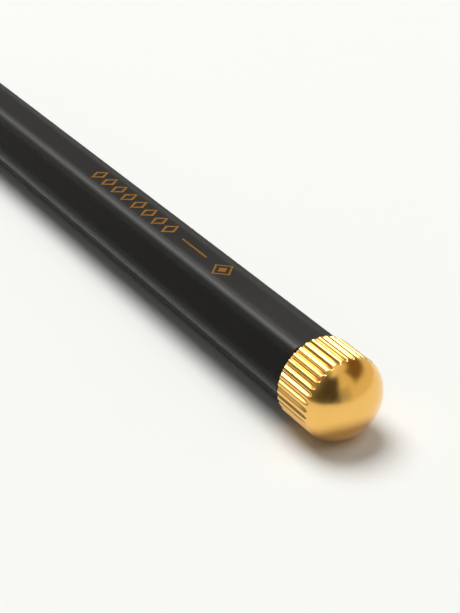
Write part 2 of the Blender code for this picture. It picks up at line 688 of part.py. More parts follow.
def make_refill_point(axis, parts):
    """Writing point: a cone with a rolled lip that holds the ball, and a tail in the coupling."""
    seat_r = BALL_R + BALL_GAP
    lip_x = TIP_X + BALL_SHOW
    lip_r = math.sqrt(seat_r ** 2 - (BALL_X - lip_x) ** 2)
    seat_floor = BALL_X + seat_r
    return turned("refill_point", [
        (POINT_REAR + POINT_TAIL_LENGTH, POINT_TAIL_R),
        (POINT_REAR, POINT_TAIL_R),
        (POINT_REAR, POINT_R),
        (lip_x + POINT_CONE_LENGTH, POINT_R),
        (lip_x, lip_r + SEAT_LIP),
        (lip_x, lip_r),
        (BALL_X, seat_r),
        (seat_floor, seat_r),
        (seat_floor, INK_CHANNEL / 2),
        (POINT_REAR + POINT_TAIL_LENGTH, INK_CHANNEL / 2),
    ], axis, parts)


def make_refill_ball(parts):
    """The ball, with its origin at its middle and its poles across the pen."""
    ball = bmesh.new()
    bmesh.ops.create_uvsphere(ball, u_segments=BALL_SEGMENTS, v_segments=BALL_RINGS, radius=BALL_R,
                              matrix=Matrix.Rotation(math.pi / 2, 4, "X"))
    mesh = bpy.data.meshes.new("refill_ball")
    ball.to_mesh(mesh)
    ball.free()
    obj = bpy.data.objects.new("refill_ball", mesh)
    obj.location = (BALL_X, 0.0, AXIS_HEIGHT)
    parts.objects.link(obj)
    return obj


def spring_points():
    """Middle line of the wire, one curl after another from the nose's seat to the shoulder."""
    end_room = SPRING_WIRE / 2 + FACE_GAP
    start = SPRING_SEAT_X + end_room
    length = SHOULDER_X - end_room - start
    count = SPRING_CURLS * POINTS_A_CURL
    points = []
    for i in range(count + 1):
        angle = 2 * math.pi * i / POINTS_A_CURL
        points.append(Vector((SPRING_R * math.cos(angle), SPRING_R * math.sin(angle),
                              start + length * i / count)))
    return points


def least_gap(points):
    """Least clear room between curls, measured between points at least half a curl apart."""
    apart = POINTS_A_CURL // 2
    nearest = min((a - b).length for i, a in enumerate(points) for b in points[i + apart:])
    return nearest - SPRING_WIRE


def make_return_spring(frame, parts):
    points = spring_points()
    curve = bpy.data.curves.new("return_spring", "CURVE")
    curve.dimensions = "3D"
    curve.bevel_depth = SPRING_WIRE / 2
    curve.bevel_resolution = 1
    curve.use_fill_caps = True
    spline = curve.splines.new("POLY")
    spline.points.add(len(points) - 1)
    for point, place in zip(spline.points, points):
        point.co = (*place, 1.0)
    print(f"return_spring: least gap between curls {least_gap(points) / MM:.2f} mm")
    return curve_as_mesh("return_spring", curve, frame, parts)


def settle(obj, material):
    """Keep the finished shape as the object's own mesh, with its round faces shaded smooth."""
    mesh = evaluated_mesh(obj)
    obj.modifiers.clear()
    obj.data = mesh
    mesh.name = obj.name
    mesh.shade_smooth()
    mesh.set_sharp_from_angle(angle=SHARP_ANGLE)
    mesh.materials.clear()
    mesh.materials.append(material)


def main():
    clear_scene()
    parts = new_collection("twist_ballpoint_pen")
    cutters = new_collection("cutters")
    body = axis_empty("pen_body", parts)
    twist = axis_empty("knob_axis", parts)
    slide = axis_empty("refill_axis", parts)

    anodised = finish_material("black_anodised", (0.025, 0.024, 0.024), 0.42, 0.3)
    gold = finish_material("gold_plate", (0.83, 0.55, 0.20), 0.24, 1.0)
    brass = finish_material("plain_brass", (0.72, 0.52, 0.22), 0.35, 1.0)
    steel = finish_material("steel", (0.60, 0.60, 0.61), 0.30, 1.0)
    black_plastic = finish_material("black_plastic", (0.03, 0.03, 0.03), 0.50, 0.0)
    white_plastic = finish_material("white_plastic", (0.80, 0.80, 0.76), 0.45, 0.0)
    rubber = finish_material("rubber", (0.02, 0.02, 0.02), 0.80, 0.0)
    ink = finish_material("ink", (0.01, 0.01, 0.03), 0.20, 0.0)
    carbide = finish_material("carbide", (0.35, 0.35, 0.36), 0.15, 1.0)

    thrust_rear = BUSH_NOSE_FRONT - FACE_GAP
    washer_bore_r = SPINDLE_R + 2 * RUNNING_GAP
    washer_r = SPINDLE_R + KNOB_WASHER_RIM
    pin_half = GUIDE_R - FACE_GAP
    pieces = [
        (make_barrel(body, parts, cutters), anodised),
        (make_nose_cone(body, parts), gold),
        (make_bearing_bush(body, parts), brass),
        (make_guide_sleeve(body, parts, cutters), brass),
        (make_retaining_ring(body, parts, cutters), steel),
        (make_washer("knob_washer", WASHER_REAR, KNOB_WASHER_THICKNESS, washer_bore_r, washer_r,
                     body, parts), black_plastic),
        (make_washer("thrust_washer", thrust_rear, THRUST_WASHER_THICKNESS, washer_bore_r,
                     CAM_R - RUNNING_GAP, body, parts), steel),
        (make_return_spring(body, parts), steel),
        (make_twist_knob(twist, parts, cutters), gold),
        (make_knob_spindle(twist, parts), brass),
        (make_friction_o_ring(twist, parts), rubber),
        (make_cam_sleeve(twist, parts, cutters), white_plastic),
        (make_plunger(slide, parts, cutters), black_plastic),
        (cross_cylinder("follower_pin", PIN_X, PIN_R, pin_half, PIN_CHAMFER, slide, parts), steel),
        (make_refill_end_plug(slide, parts), black_plastic),
        (make_refill_tube(slide, parts), steel),
        (make_ink_column(slide, parts), ink),
        (make_refill_coupling(slide, parts), brass),
        (make_refill_point(slide, parts), steel),
        (make_refill_ball(parts), carbide),
    ]
    for piece, material in pieces:
        settle(piece, material)
    print(f"refill length {(REFILL_REAR - TIP_X) / MM:.1f} mm")


main()
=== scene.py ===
"""Looks of a hexagonal twist ballpoint pen: fine meshes over the fixed frame, finishes, light and camera.

All sizes are in metres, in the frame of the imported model. The pen's axis runs along X, with the nose at -X
and the turning knob at +X. Round pieces are drawn as rows of (place along the axis, radius).
"""
import json
import math

import bpy
import numpy as np
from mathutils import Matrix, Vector


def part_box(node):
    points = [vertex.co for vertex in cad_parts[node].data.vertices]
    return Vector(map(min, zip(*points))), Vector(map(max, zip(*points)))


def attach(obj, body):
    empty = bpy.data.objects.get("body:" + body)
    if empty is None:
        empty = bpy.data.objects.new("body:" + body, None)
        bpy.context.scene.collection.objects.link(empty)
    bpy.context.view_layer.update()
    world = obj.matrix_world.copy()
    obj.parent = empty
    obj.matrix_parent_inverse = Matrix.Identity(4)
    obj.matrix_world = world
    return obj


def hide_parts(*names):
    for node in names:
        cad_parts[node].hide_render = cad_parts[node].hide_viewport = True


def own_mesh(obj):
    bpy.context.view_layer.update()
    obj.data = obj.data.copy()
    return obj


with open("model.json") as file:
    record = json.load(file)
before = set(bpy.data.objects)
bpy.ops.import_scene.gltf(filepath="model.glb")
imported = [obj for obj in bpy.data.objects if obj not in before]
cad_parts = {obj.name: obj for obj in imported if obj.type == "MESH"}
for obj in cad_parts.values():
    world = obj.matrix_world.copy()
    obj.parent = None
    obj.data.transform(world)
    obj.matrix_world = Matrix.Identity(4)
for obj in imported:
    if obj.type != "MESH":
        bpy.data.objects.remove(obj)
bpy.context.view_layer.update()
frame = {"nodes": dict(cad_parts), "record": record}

MM = 0.001

# Sizes read from the frame
BARREL_LOW, BARREL_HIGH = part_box("barrel")
KNOB_LOW, KNOB_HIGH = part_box("twist_knob")
NOSE_LOW, NOSE_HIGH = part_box("nose_cone")
SPRING_LOW, SPRING_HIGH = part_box("return_spring")
POINT_LOW, POINT_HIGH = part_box("refill_point")
BALL_LOW, BALL_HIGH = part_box("refill_ball")
AXIS_Z = (BARREL_LOW.z + BARREL_HIGH.z) / 2
FLAT_R = (BARREL_HIGH.z - BARREL_LOW.z) / 2
CORNER_R = BARREL_HIGH.y
KNOB_R = KNOB_HIGH.y
KNOB_BACK = KNOB_LOW.x
NOSE_BASE_X = BARREL_LOW.x
NOSE_MOUTH_X = NOSE_LOW.x

# Barrel
SLANT = 1.0 / math.cos(math.pi / 6)
EDGE_R = (FLAT_R * SLANT - CORNER_R) / (SLANT - 1.0)
EDGE_COLUMNS = 14               # across each rounded edge
FLAT_COLUMNS = 10               # across each flat
BARREL_STATIONS = 40            # along the barrel
END_CHAMFER = 0.08 * MM
END_BREAK = 0.04 * MM           # broken edges of the barrel's rear, the nose's base and the point
LEAST_TURN = 0.02 * MM          # shortest length that an end is turned down over
TAPER_LENGTH = 9.0 * MM
NOSE_BASE_R = FLAT_R - 0.25 * MM
BORE_R = 3.15 * MM
FLANGE_POCKET_R = BORE_R + 0.43 * MM
FLANGE_POCKET_DEPTH = 0.68 * MM
SOCKET_R = 3.46 * MM
SOCKET_DEPTH = 6.03 * MM

# Knob
GROOVES = 34
GROOVE_DEPTH = 0.24 * MM
GROOVE_LEVEL = 4.75 * MM        # from the knob's back to where the grooves' floors start to rise
GROOVE_RISE = 0.754 * MM        # length in which a floor would rise to the teeth's tops
TOOTH_LENGTH = 4.92 * MM        # from the knob's back to where the dome cuts off the teeth
RIM_SLOPE = math.radians(18.0)  # of the dome against the axis, at the teeth
CROWN_SLOPE = math.radians(52.0)  # where the dome's shoulder runs into its crown
SHOULDER_R = 3.9 * MM
SHOULDER_CENTRE = TOOTH_LENGTH - SHOULDER_R * math.sin(RIM_SLOPE)
SHOULDER_CENTRE_R = KNOB_R - SHOULDER_R * math.cos(RIM_SLOPE)
CROWN_START = SHOULDER_CENTRE + SHOULDER_R * math.sin(CROWN_SLOPE)
CROWN_R = SHOULDER_R + SHOULDER_CENTRE_R / math.cos(CROWN_SLOPE)
CROWN_CENTRE = CROWN_START - CROWN_R * math.sin(CROWN_SLOPE)
BACK_CHAMFER = 0.18 * MM
LAND_BREAK = 0.05 * MM          # rounding of the teeth's long edges
ROOT_BREAK = 0.02 * MM          # rounding of the grooves' roots
RIM_BREAK = 0.015 * MM          # rounding of the teeth's ends
TIP_WIDTH = 0.012 * MM          # spacing of the columns where a groove has run out
TIP_HALVINGS = 40               # steps in the search for a groove's tip
FLANK_COLUMNS = (0.0, 0.12, 0.4, 0.7, 0.9, 1.0)
LAND_COLUMNS = (0.12, 0.45)
STRAIGHT_ROWS = 5
RISE_ROWS = 6
TIP_ROWS = 10
SPREAD_ROWS = 6
SPREAD_SLOPE = math.radians(28.0)  # where the columns have evened out
RECESS_R = 3.22 * MM
RECESS_FLOOR = 0.16 * MM
SOCKET_FLOOR = 4.39 * MM
KNOB_SOCKET_R = 1.53 * MM
DOME_COLUMNS = 4                # per groove, past the grooves' tips
SHOULDER_ROWS = 14
CROWN_ROWS = 36

# Nose
NOSE_GAP = 0.03 * MM
NOSE_BOW = 0.45 * MM            # swell at the middle of the cone's side
MOUTH_R = 1.6 * MM
MOUTH_BORE_R = 1.25 * MM
MOUTH_ROUND = 0.16 * MM
SPIGOT_R = 3.43 * MM
SPIGOT_BORE_R = 3.01 * MM
SPRING_BORE_R = 2.4 * MM
SPRING_SEAT_X = NOSE_MOUTH_X + 5.5 * MM
NOSE_FLOOR_X = NOSE_MOUTH_X + 12.2 * MM
NOSE_ROWS = 40
LIP_ROWS = 8
NOSE_COLUMNS = 128

# Refill and spring
POINT_LENGTH = 10.0 * MM
POINT_CONE = 2.6 * MM
POINT_TAIL_R = 0.85 * MM
POINT_COLUMNS = 64
INK_CHANNEL_R = 0.3 * MM
BALL_GAP = 0.025 * MM
BALL_ROWS = 24
BALL_COLUMNS = 48
SEAT_LIP = 0.14 * MM
SPRING_WIRE = 0.4 * MM
SPRING_TURNS = 10
SPRING_STEPS = 36               # per turn
DEAD_PITCH = 1.15               # pitch of the closed end turns, in wires
WIRE_SIDES = 12

# Print on the top flat, as places along the pen from the knob's back
PRINT_THICKNESS = 0.006 * MM
PRINT_ROW = (-45.4 * MM, -28.6 * MM)
PRINT_COUNT = 8
LOZENGE_HALF_LENGTH = 0.95 * MM
LOZENGE_HALF_WIDTH = 1.25 * MM
LOZENGE_LINE = 0.4 * MM
RULE_ENDS = (-25.8 * MM, -20.7 * MM)
RULE_WIDTH = 0.22 * MM
MARK_X = -17.4 * MM
MARK_HALF = 1.45 * MM
MARK_LINE = 0.3 * MM
MARK_CORE = 0.6 * MM

# Angles between two faces, in degrees, past which the edge between them stays crisp
BARREL_CRISP = 24.0
KNOB_CRISP = 50.0
TURNED_CRISP = 28.0
SPRING_CRISP = 60.0
PRINT_CRISP = 30.0

# Carried-over nodes
WELD_DISTANCE = 0.0005 * MM
SPLIT_ANGLE = 30.0

# Finishes
NOISE_LOW, NOISE_HIGH = 0.3, 0.7    # middle range of a noise's values
MIX_A, MIX_B, MIX_RESULT = 6, 7, 2  # colour sockets of a Mix node
DARKER = 0.9                        # shades of the clouds in a colour
LIGHTER = 1.06
WORN_FROM = FLAT_R * 1.03           # from the axis, where the barrel's edges start to be worn
WORN_FULL = CORNER_R * 0.985        # and where they are worn most
WORN_ROUGHNESS = 0.3                # added where they are worn most

# Studio
SUBJECT = Vector((0.055, 0.0, AXIS_Z))
FLOOR_SIZE = 6.0
FLOOR_COLOR = (0.93, 0.936, 0.90)
FLOOR_ROUGHNESS = 0.8
FLOOR_SPECULAR = 0.1
FLOOR_FADE = (0.35, 1.4)        # from the pen, where the floor runs into the surround
SURROUND_COLOR = (1.0, 1.0, 0.985)
WORLD_LIGHT = 0.17
WORLD_SURROUND = 0.9
# Lamps, in degrees round and above the pen, with their distance, width and power
LAMPS = (
    ("softbox_back", -89.0, 65.5, 4.0, 2.7, 141.0),
    ("softbox_fill", 130.0, 62.0, 4.0, 2.67, 23.2),
)
PATCH_STEPS = 24                # faces along each side of a patch
# Glowing patches seen only in reflections, in degrees round and above the pen, with their fades, distance
# and light
STUDIO = (
    # The first patch glows brightly in place of the key lamp's reflection, away from the lamp; the dim ones
    # only darken reflections
    ("key_reflection_glow", (-128.0, -58.0), (36.0, 70.0), (9.0, 9.0, 9.0, 9.0), 1.1, (6.5, 6.4, 6.2)),
    ("wall_front", (-20.0, 84.0), (-7.0, 72.0), (55.0, 14.0, 10.0, 14.0), 1.2, (0.06, 0.06, 0.06)),
    ("wall_high", (-42.0, 44.0), (24.0, 83.0), (20.0, 20.0, 14.0, 14.0), 1.25, (0.30, 0.29, 0.27)),
    ("wall_low", (40.0, 108.0), (-9.0, 36.0), (18.0, 18.0, 18.0, 18.0), 1.28, (0.45, 0.44, 0.42)),
    ("wall_left", (-84.0, 40.0), (-12.0, 36.0), (11.0, 20.0, 11.0, 11.0), 1.3, (0.24, 0.23, 0.20)),
    ("wall_back", (-152.0, -95.0), (-14.0, 41.0), (15.0, 15.0, 15.0, 15.0), 1.35, (0.28, 0.27, 0.25)),
    ("wall_side", (112.0, 215.0), (20.0, 72.0), (15.0, 15.0, 15.0, 15.0), 1.4, (0.17, 0.105, 0.045)),
    ("wall_right", (66.0, 240.0), (-14.0, 90.0), (20.0, 20.0, 20.0, 20.0), 1.45, (0.76, 0.70, 0.50)),
)

# Camera, fitted to the photograph
IMAGE_HEIGHT = 613
CAMERA_FROM_KNOB = Vector((97.65, -73.06, 81.92)) * MM
CAMERA_FORWARD = Vector((-0.7194, 0.4629, -0.5178))
FOCAL_PIXELS = 1440.3
SENSOR = 36.0
CLIP_START = 1.0 * MM


def new_piece(name, points, faces, body, material, crisp=None):
    """A piece of the pen from world points, shaded smooth but for edges sharper than the given angle."""
    mesh = bpy.data.meshes.new(name)
    mesh.from_pydata([tuple(p) for p in points], [], faces)
    mesh.validate()
    mesh.update()
    mesh.shade_smooth()
    if crisp is not None:
        mesh.set_sharp_from_angle(angle=math.radians(crisp))
    mesh.materials.append(material)
    piece = bpy.data.objects.new(name, mesh)
    bpy.context.scene.collection.objects.link(piece)
    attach(piece, body)
    return piece


def polar(x, radius, angle):
    """Point at an angle round the axis, counted from straight up towards -Y."""
    return (x, -radius * math.sin(angle), AXIS_Z + radius * math.cos(angle))


def joined_rows(counts, closed):
    """Faces between rows of points that run round the axis.

    A row may be a single point on the axis, or have a whole number of times the points of its neighbour.
    A closed form joins its last row to its first.
    """
    starts = np.concatenate([[0], np.cumsum(counts)]).tolist()
    pairs = [(i, i + 1) for i in range(len(counts) - 1)]
    if closed:
        pairs.append((len(counts) - 1, 0))
    faces = []
    for a, b in pairs:
        steps = min(counts[a], counts[b])
        if steps == 1:
            steps = max(counts[a], counts[b])
        for k in range(steps):
            near = run_of(starts[a], counts[a], steps, k)
            far = run_of(starts[b], counts[b], steps, k)
            faces.append((*near[::-1], *far))
    return faces


def run_of(start, count, steps, k):
    """Points of one row that the k-th face beside it touches."""
    if count == 1:
        return [start]
    share = count // steps
    return [start + (k * share + s) % count for s in range(share + 1)]


def turned(name, outline, body, material, columns, crisp=TURNED_CRISP, closed=True):
    """A turned piece from rows of (place, radius). Its outline runs down the outside, rear to nose."""
    points = []
    counts = []
    for x, radius in outline:
        count = columns if radius > 0.0 else 1
        counts.append(count)
        points += [polar(x, radius, 2 * math.pi * k / columns) for k in range(count)]
    return new_piece(name, points, joined_rows(counts, closed), body, material, crisp)


def arc(centre, radius, start, end, steps):
    """Points (place, radius) on an arc, with angles counted from the axis."""
    angles = np.linspace(start, end, steps + 1)
    return [(centre[0] + radius * math.cos(a), centre[1] + radius * math.sin(a)) for a in angles]


class Finish:
    """One material's node tree, with short calls to add nodes and join them."""

    def __init__(self, name, color, metallic, roughness):
        self.material = bpy.data.materials.new(name)
        self.material.use_nodes = True
        self.tree = self.material.node_tree
        self.shader = self.tree.nodes["Principled BSDF"]
        self.shader.inputs["Base Color"].default_value = (*color, 1.0)
        self.shader.inputs["Metallic"].default_value = metallic
        self.shader.inputs["Roughness"].default_value = roughness

    def add(self, kind, inputs=None, **settings):
        """A new node, with its inputs joined to sockets or set to values."""
        node = self.tree.nodes.new("ShaderNode" + kind)
        for key, value in settings.items():
            setattr(node, key, value)
        for key, value in (inputs or {}).items():
            if isinstance(value, bpy.types.NodeSocket):
                self.tree.links.new(value, node.inputs[key])
            else:
                node.inputs[key].default_value = value
        return node

    def math(self, operation, a, b=0.0):
        """Result of one operation on sockets or values."""
        return self.add("Math", {0: a, 1: b}, operation=operation).outputs[0]

    def place(self):
        """Place in the pen's own frame, which moves with the piece."""
        return self.add("TexCoord").outputs["Object"]

    def noise(self, vector, scale, detail=2.0, roughness=0.5):
        """Values of a noise at a place."""
        inputs = {"Vector": vector, "Scale": scale, "Detail": detail, "Roughness": roughness}
        return self.add("TexNoise", inputs).outputs["Fac"]

    def spread(self, value, low, high):
        """Map a noise's middle range to low and high."""
        inputs = {"Value": value, "From Min": NOISE_LOW, "From Max": NOISE_HIGH,
                  "To Min": low, "To Max": high}
        return self.add("MapRange", inputs).outputs[0]

    def tint(self, value, dark, light):
        """Colour between two shades, by a noise."""
        mix = self.add("Mix", data_type="RGBA")
        self.tree.links.new(value, mix.inputs[0])
        mix.inputs[MIX_A].default_value = (*dark, 1.0)
        mix.inputs[MIX_B].default_value = (*light, 1.0)
        return mix.outputs[MIX_RESULT]

    def bump(self, height, strength, distance):
        """Give the surface a fine relief."""
        inputs = {"Height": height, "Strength": strength, "Distance": distance}
        normal = self.add("Bump", inputs).outputs["Normal"]
        self.into("Normal", normal)

    def into(self, key, socket):
        """Join a socket to one of the shader's own."""
        self.tree.links.new(socket, self.shader.inputs[key])

    def from_axis(self):
        """Place along the pen, and across and up from its axis."""
        split = self.add("SeparateXYZ", {0: self.place()})
        return split.outputs["X"], split.outputs["Y"], self.math("SUBTRACT", split.outputs["Z"], AXIS_Z)

    def axis_distance(self):
        """Distance from the pen's axis."""
        _, across, height = self.from_axis()
        height_squared = self.math("MULTIPLY", height, height)
        across_squared = self.math("MULTIPLY", across, across)
        return self.math("SQRT", self.math("ADD", height_squared, across_squared))

    def turned_place(self, along, round_the_axis):
        """Place along the axis and out from it, stretched, so that a noise on it reads as lathe lines."""
        place, across, height = self.from_axis()
        reach = self.math("ADD", place, self.axis_distance())
        lines = self.math("MULTIPLY", reach, along)
        turn = self.math("MULTIPLY", self.math("ARCTAN2", across, height), round_the_axis)
        return self.add("CombineXYZ", {0: lines, 1: turn, 2: 0.0}).outputs[0]


def shaded(color, factor):
    """A lighter or darker shade of a colour."""
    return tuple(factor * c for c in color)


def black_anodised():
    """Satin black, dulled along the six long edges by handling."""
    finish = Finish("black_anodised", (0.0075, 0.0073, 0.007), metallic=0.0, roughness=0.18)
    finish.shader.inputs["Specular IOR Level"].default_value = 0.4
    grain = finish.noise(finish.place(), scale=9000.0, detail=3.0, roughness=0.6)
    cloud = finish.noise(finish.place(), scale=160.0, detail=3.0)
    black = finish.tint(cloud, dark=(0.0068, 0.0066, 0.0063), light=(0.0085, 0.0083, 0.0079))
    finish.into("Base Color", black)
    inputs = {"Value": finish.axis_distance(), "From Min": WORN_FROM, "From Max": WORN_FULL,
              "To Min": 0.0, "To Max": WORN_ROUGHNESS}
    worn = finish.add("MapRange", inputs).outputs[0]
    finish.into("Roughness", finish.math("ADD", finish.spread(cloud, low=0.13, high=0.16), worn))
    finish.bump(grain, strength=0.10, distance=0.004 * MM)
    return finish.material


def gold_plate():
    """Gold plate on turned brass, under a clear lacquer that keeps it bright."""
    finish = Finish("gold_plate", (0.91, 0.52, 0.12), metallic=1.0, roughness=0.2)
    finish.shader.inputs["Coat Weight"].default_value = 0.7
    finish.shader.inputs["Coat Roughness"].default_value = 0.12
    lines = finish.noise(finish.turned_place(along=22000.0, round_the_axis=2.0), scale=1.0)
    cloud = finish.noise(finish.place(), scale=420.0)
    finish.into("Base Color", finish.tint(cloud, dark=(0.89, 0.505, 0.112), light=(0.93, 0.535, 0.128)))
    finish.into("Roughness", finish.spread(lines, low=0.17, high=0.22))
    finish.bump(lines, strength=0.06, distance=0.003 * MM)
    return finish.material


def gold_print():
    """Gold ink with fine flakes in it."""
    finish = Finish("gold_print", (0.22, 0.10, 0.012), metallic=1.0, roughness=0.5)
    flakes = finish.noise(finish.place(), scale=14000.0)
    finish.into("Base Color", finish.tint(flakes, dark=(0.17, 0.077, 0.009), light=(0.27, 0.123, 0.015)))
    finish.into("Roughness", finish.spread(flakes, low=0.45, high=0.58))
    return finish.material


def plain_brass():
    """Turned brass with no plate."""
    finish = Finish("plain_brass", (0.72, 0.52, 0.22), metallic=1.0, roughness=0.3)
    lines = finish.noise(finish.turned_place(along=9000.0, round_the_axis=3.0), scale=1.0, detail=3.0)
    cloud = finish.noise(finish.place(), scale=300.0, detail=3.0)
    finish.into("Base Color", finish.tint(cloud, dark=(0.62, 0.42, 0.16), light=(0.78, 0.58, 0.27)))
    finish.into("Roughness", finish.spread(lines, low=0.24, high=0.40))
    finish.bump(lines, strength=0.2, distance=0.005 * MM)
    return finish.material


def bright_steel(name, color, low, high):
    """Turned hard metal, whose roughness lies between low and high."""
    finish = Finish(name, color, metallic=1.0, roughness=low)
    lines = finish.noise(finish.turned_place(along=12000.0, round_the_axis=2.0), scale=1.0)
    cloud = finish.noise(finish.place(), scale=400.0)
    finish.into("Base Color", finish.tint(cloud, shaded(color, DARKER), shaded(color, LIGHTER)))
    finish.into("Roughness", finish.spread(lines, low, high))
    finish.bump(lines, strength=0.1, distance=0.003 * MM)
    return finish.material


def moulded_plastic(name, color):
    """Plastic with the fine grain of its mould."""
    finish = Finish(name, color, metallic=0.0, roughness=0.45)
    grain = finish.noise(finish.place(), scale=5000.0, detail=3.0, roughness=0.6)
    cloud = finish.noise(finish.place(), scale=250.0)
    finish.into("Base Color", finish.tint(cloud, shaded(color, DARKER), color))
    finish.into("Roughness", finish.spread(grain, low=0.40, high=0.52))
    finish.bump(grain, strength=0.15, distance=0.006 * MM)
    return finish.material


def rubber():
    """Matt black rubber."""
    finish = Finish("rubber", (0.02, 0.02, 0.02), metallic=0.0, roughness=0.75)
    grain = finish.noise(finish.place(), scale=7000.0, detail=4.0, roughness=0.7)
    finish.into("Base Color", finish.tint(grain, dark=(0.014, 0.014, 0.014), light=(0.028, 0.027, 0.026)))
    finish.into("Roughness", finish.spread(grain, low=0.65, high=0.85))
    finish.bump(grain, strength=0.3, distance=0.01 * MM)
    return finish.material


def ink():
    """Thick wet ink."""
    finish = Finish("ink", (0.008, 0.008, 0.02), metallic=0.0, roughness=0.12)
    swirl = finish.noise(finish.place(), scale=600.0, detail=3.0)
    finish.into("Base Color", finish.tint(swirl, dark=(0.006, 0.006, 0.015), light=(0.012, 0.012, 0.03)))
    finish.into("Roughness", finish.spread(swirl, low=0.08, high=0.18))
    return finish.material


def hexagon_columns():
    """Angle and radius of each column round the barrel, from the middle of the top flat."""
    columns = []
    flat_reach = (FLAT_R - EDGE_R) * math.tan(math.pi / 6)
    for side in range(6):
        middle = side * math.pi / 3
        for t in np.linspace(-flat_reach, flat_reach, FLAT_COLUMNS, endpoint=False):
            columns.append((middle + math.atan2(t, FLAT_R), math.hypot(t, FLAT_R)))
        edge = middle + math.pi / 6
        centre = (FLAT_R - EDGE_R) * SLANT
        for turn in np.linspace(-math.pi / 6, math.pi / 6, EDGE_COLUMNS, endpoint=False):
            across = EDGE_R * math.sin(turn)
            out = centre + EDGE_R * math.cos(turn)
            columns.append((edge + math.atan2(across, out), math.hypot(across, out)))
    return columns


def make_barrel(material):
    """Hexagonal tube whose edges are turned down at both ends."""
    columns = hexagon_columns()
    rear = BARREL_HIGH.x
    front = BARREL_LOW.x
    slope = (CORNER_R - NOSE_BASE_R) / TAPER_LENGTH
    rear_r = CORNER_R - END_CHAMFER

    def rear_meet(radius):
        """Place where a column runs into the turned rear end."""
        return rear - max(radius - rear_r + END_BREAK, END_BREAK + LEAST_TURN)

    def front_meet(radius):
        """Place where a column runs into the turned front end."""
        return front + max((radius - NOSE_BASE_R) / slope, LEAST_TURN)

    rows = []
    rows.append([(rear, min(r, rear_r) - END_BREAK) for _, r in columns])
    rows.append([(rear - END_BREAK, min(r, rear_r)) for _, r in columns])
    first_station = len(rows)
    for station in range(BARREL_STATIONS + 1):
        share = station / BARREL_STATIONS
        rows.append([(rear_meet(r) + (front_meet(r) - rear_meet(r)) * share, r) for _, r in columns])
    rows.append([(front, NOSE_BASE_R) for _ in columns])
    for x, radius in (
        (front, SOCKET_R),
        (front + SOCKET_DEPTH, SOCKET_R),
        (front + SOCKET_DEPTH, BORE_R),
        (rear - FLANGE_POCKET_DEPTH, BORE_R),
        (rear - FLANGE_POCKET_DEPTH, FLANGE_POCKET_R),
        (rear, FLANGE_POCKET_R),
    ):
        rows.append([(x, radius) for _ in columns])
    points = [polar(x, radius, angle) for row in rows for (x, radius), (angle, _) in zip(row, columns)]
    faces = joined_rows([len(columns)] * len(rows), closed=True)
    barrel = new_piece("barrel_tube", points, faces, "pen_body", material, BARREL_CRISP)
    # The turned ends meet the flats at a slight angle, so those lines are kept crisp
    crisp = {first_station, first_station + BARREL_STATIONS}
    for edge in barrel.data.edges:
        row = {v // len(columns) for v in edge.vertices}
        if len(row) == 1 and row <= crisp:
            edge.use_edge_sharp = True
    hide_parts("barrel")


def knob_surface(x):
    """Radius of the knob outside its grooves, at a place from its back."""
    if x > CROWN_START:
        return math.sqrt(max(CROWN_R ** 2 - (x - CROWN_CENTRE) ** 2, 0.0))
    if x > TOOTH_LENGTH:
        return SHOULDER_CENTRE_R + math.sqrt(SHOULDER_R ** 2 - (x - SHOULDER_CENTRE) ** 2)
    return KNOB_R - max(BACK_CHAMFER - x, 0.0)


def groove_floor(x):
    """Radius of a groove's root, at a place from the knob's back."""
    return KNOB_R - GROOVE_DEPTH * (1.0 - max(x - GROOVE_LEVEL, 0.0) / GROOVE_RISE)


def groove_tip():
    """Place where a groove's rising floor comes out on the dome."""
    low, high = TOOTH_LENGTH, CROWN_START
    for _ in range(TIP_HALVINGS):
        middle = (low + high) / 2
        if knob_surface(middle) > groove_floor(middle):
            low = middle
        else:
            high = middle
    return high


def groove_columns(surface, floor, spread):
    """Angles across one groove and half the land on each side, and the radius at each.

    Spread moves the columns from the groove's own edges, at 0, to even spacing, at 1.
    """
    half_pitch = math.pi / GROOVES
    depth = max(surface - floor, 0.0)
    edge = max(depth, TIP_WIDTH) / surface
    half = [edge * t for t in FLANK_COLUMNS] + [edge + (half_pitch - edge) * t for t in LAND_COLUMNS]
    own = [-a for a in half[:0:-1]] + half + [half_pitch]
    even = [half_pitch * (k + 1 - len(half)) / len(half) for k in range(len(own))]
    angles = [a + (b - a) * spread for a, b in zip(own, even)]
    soft = min(LAND_BREAK, depth)
    radii = []
    for angle in angles:
        side = surface * math.sin(angle)
        rise = math.sqrt(side * side + ROOT_BREAK ** 2) - ROOT_BREAK
        over = (floor + rise) / math.cos(angle) - surface
        # The lower of flank and land, with a rounded edge between them
        radii.append(surface + 0.5 * (over - math.sqrt(over * over + soft * soft)))
    return angles, radii


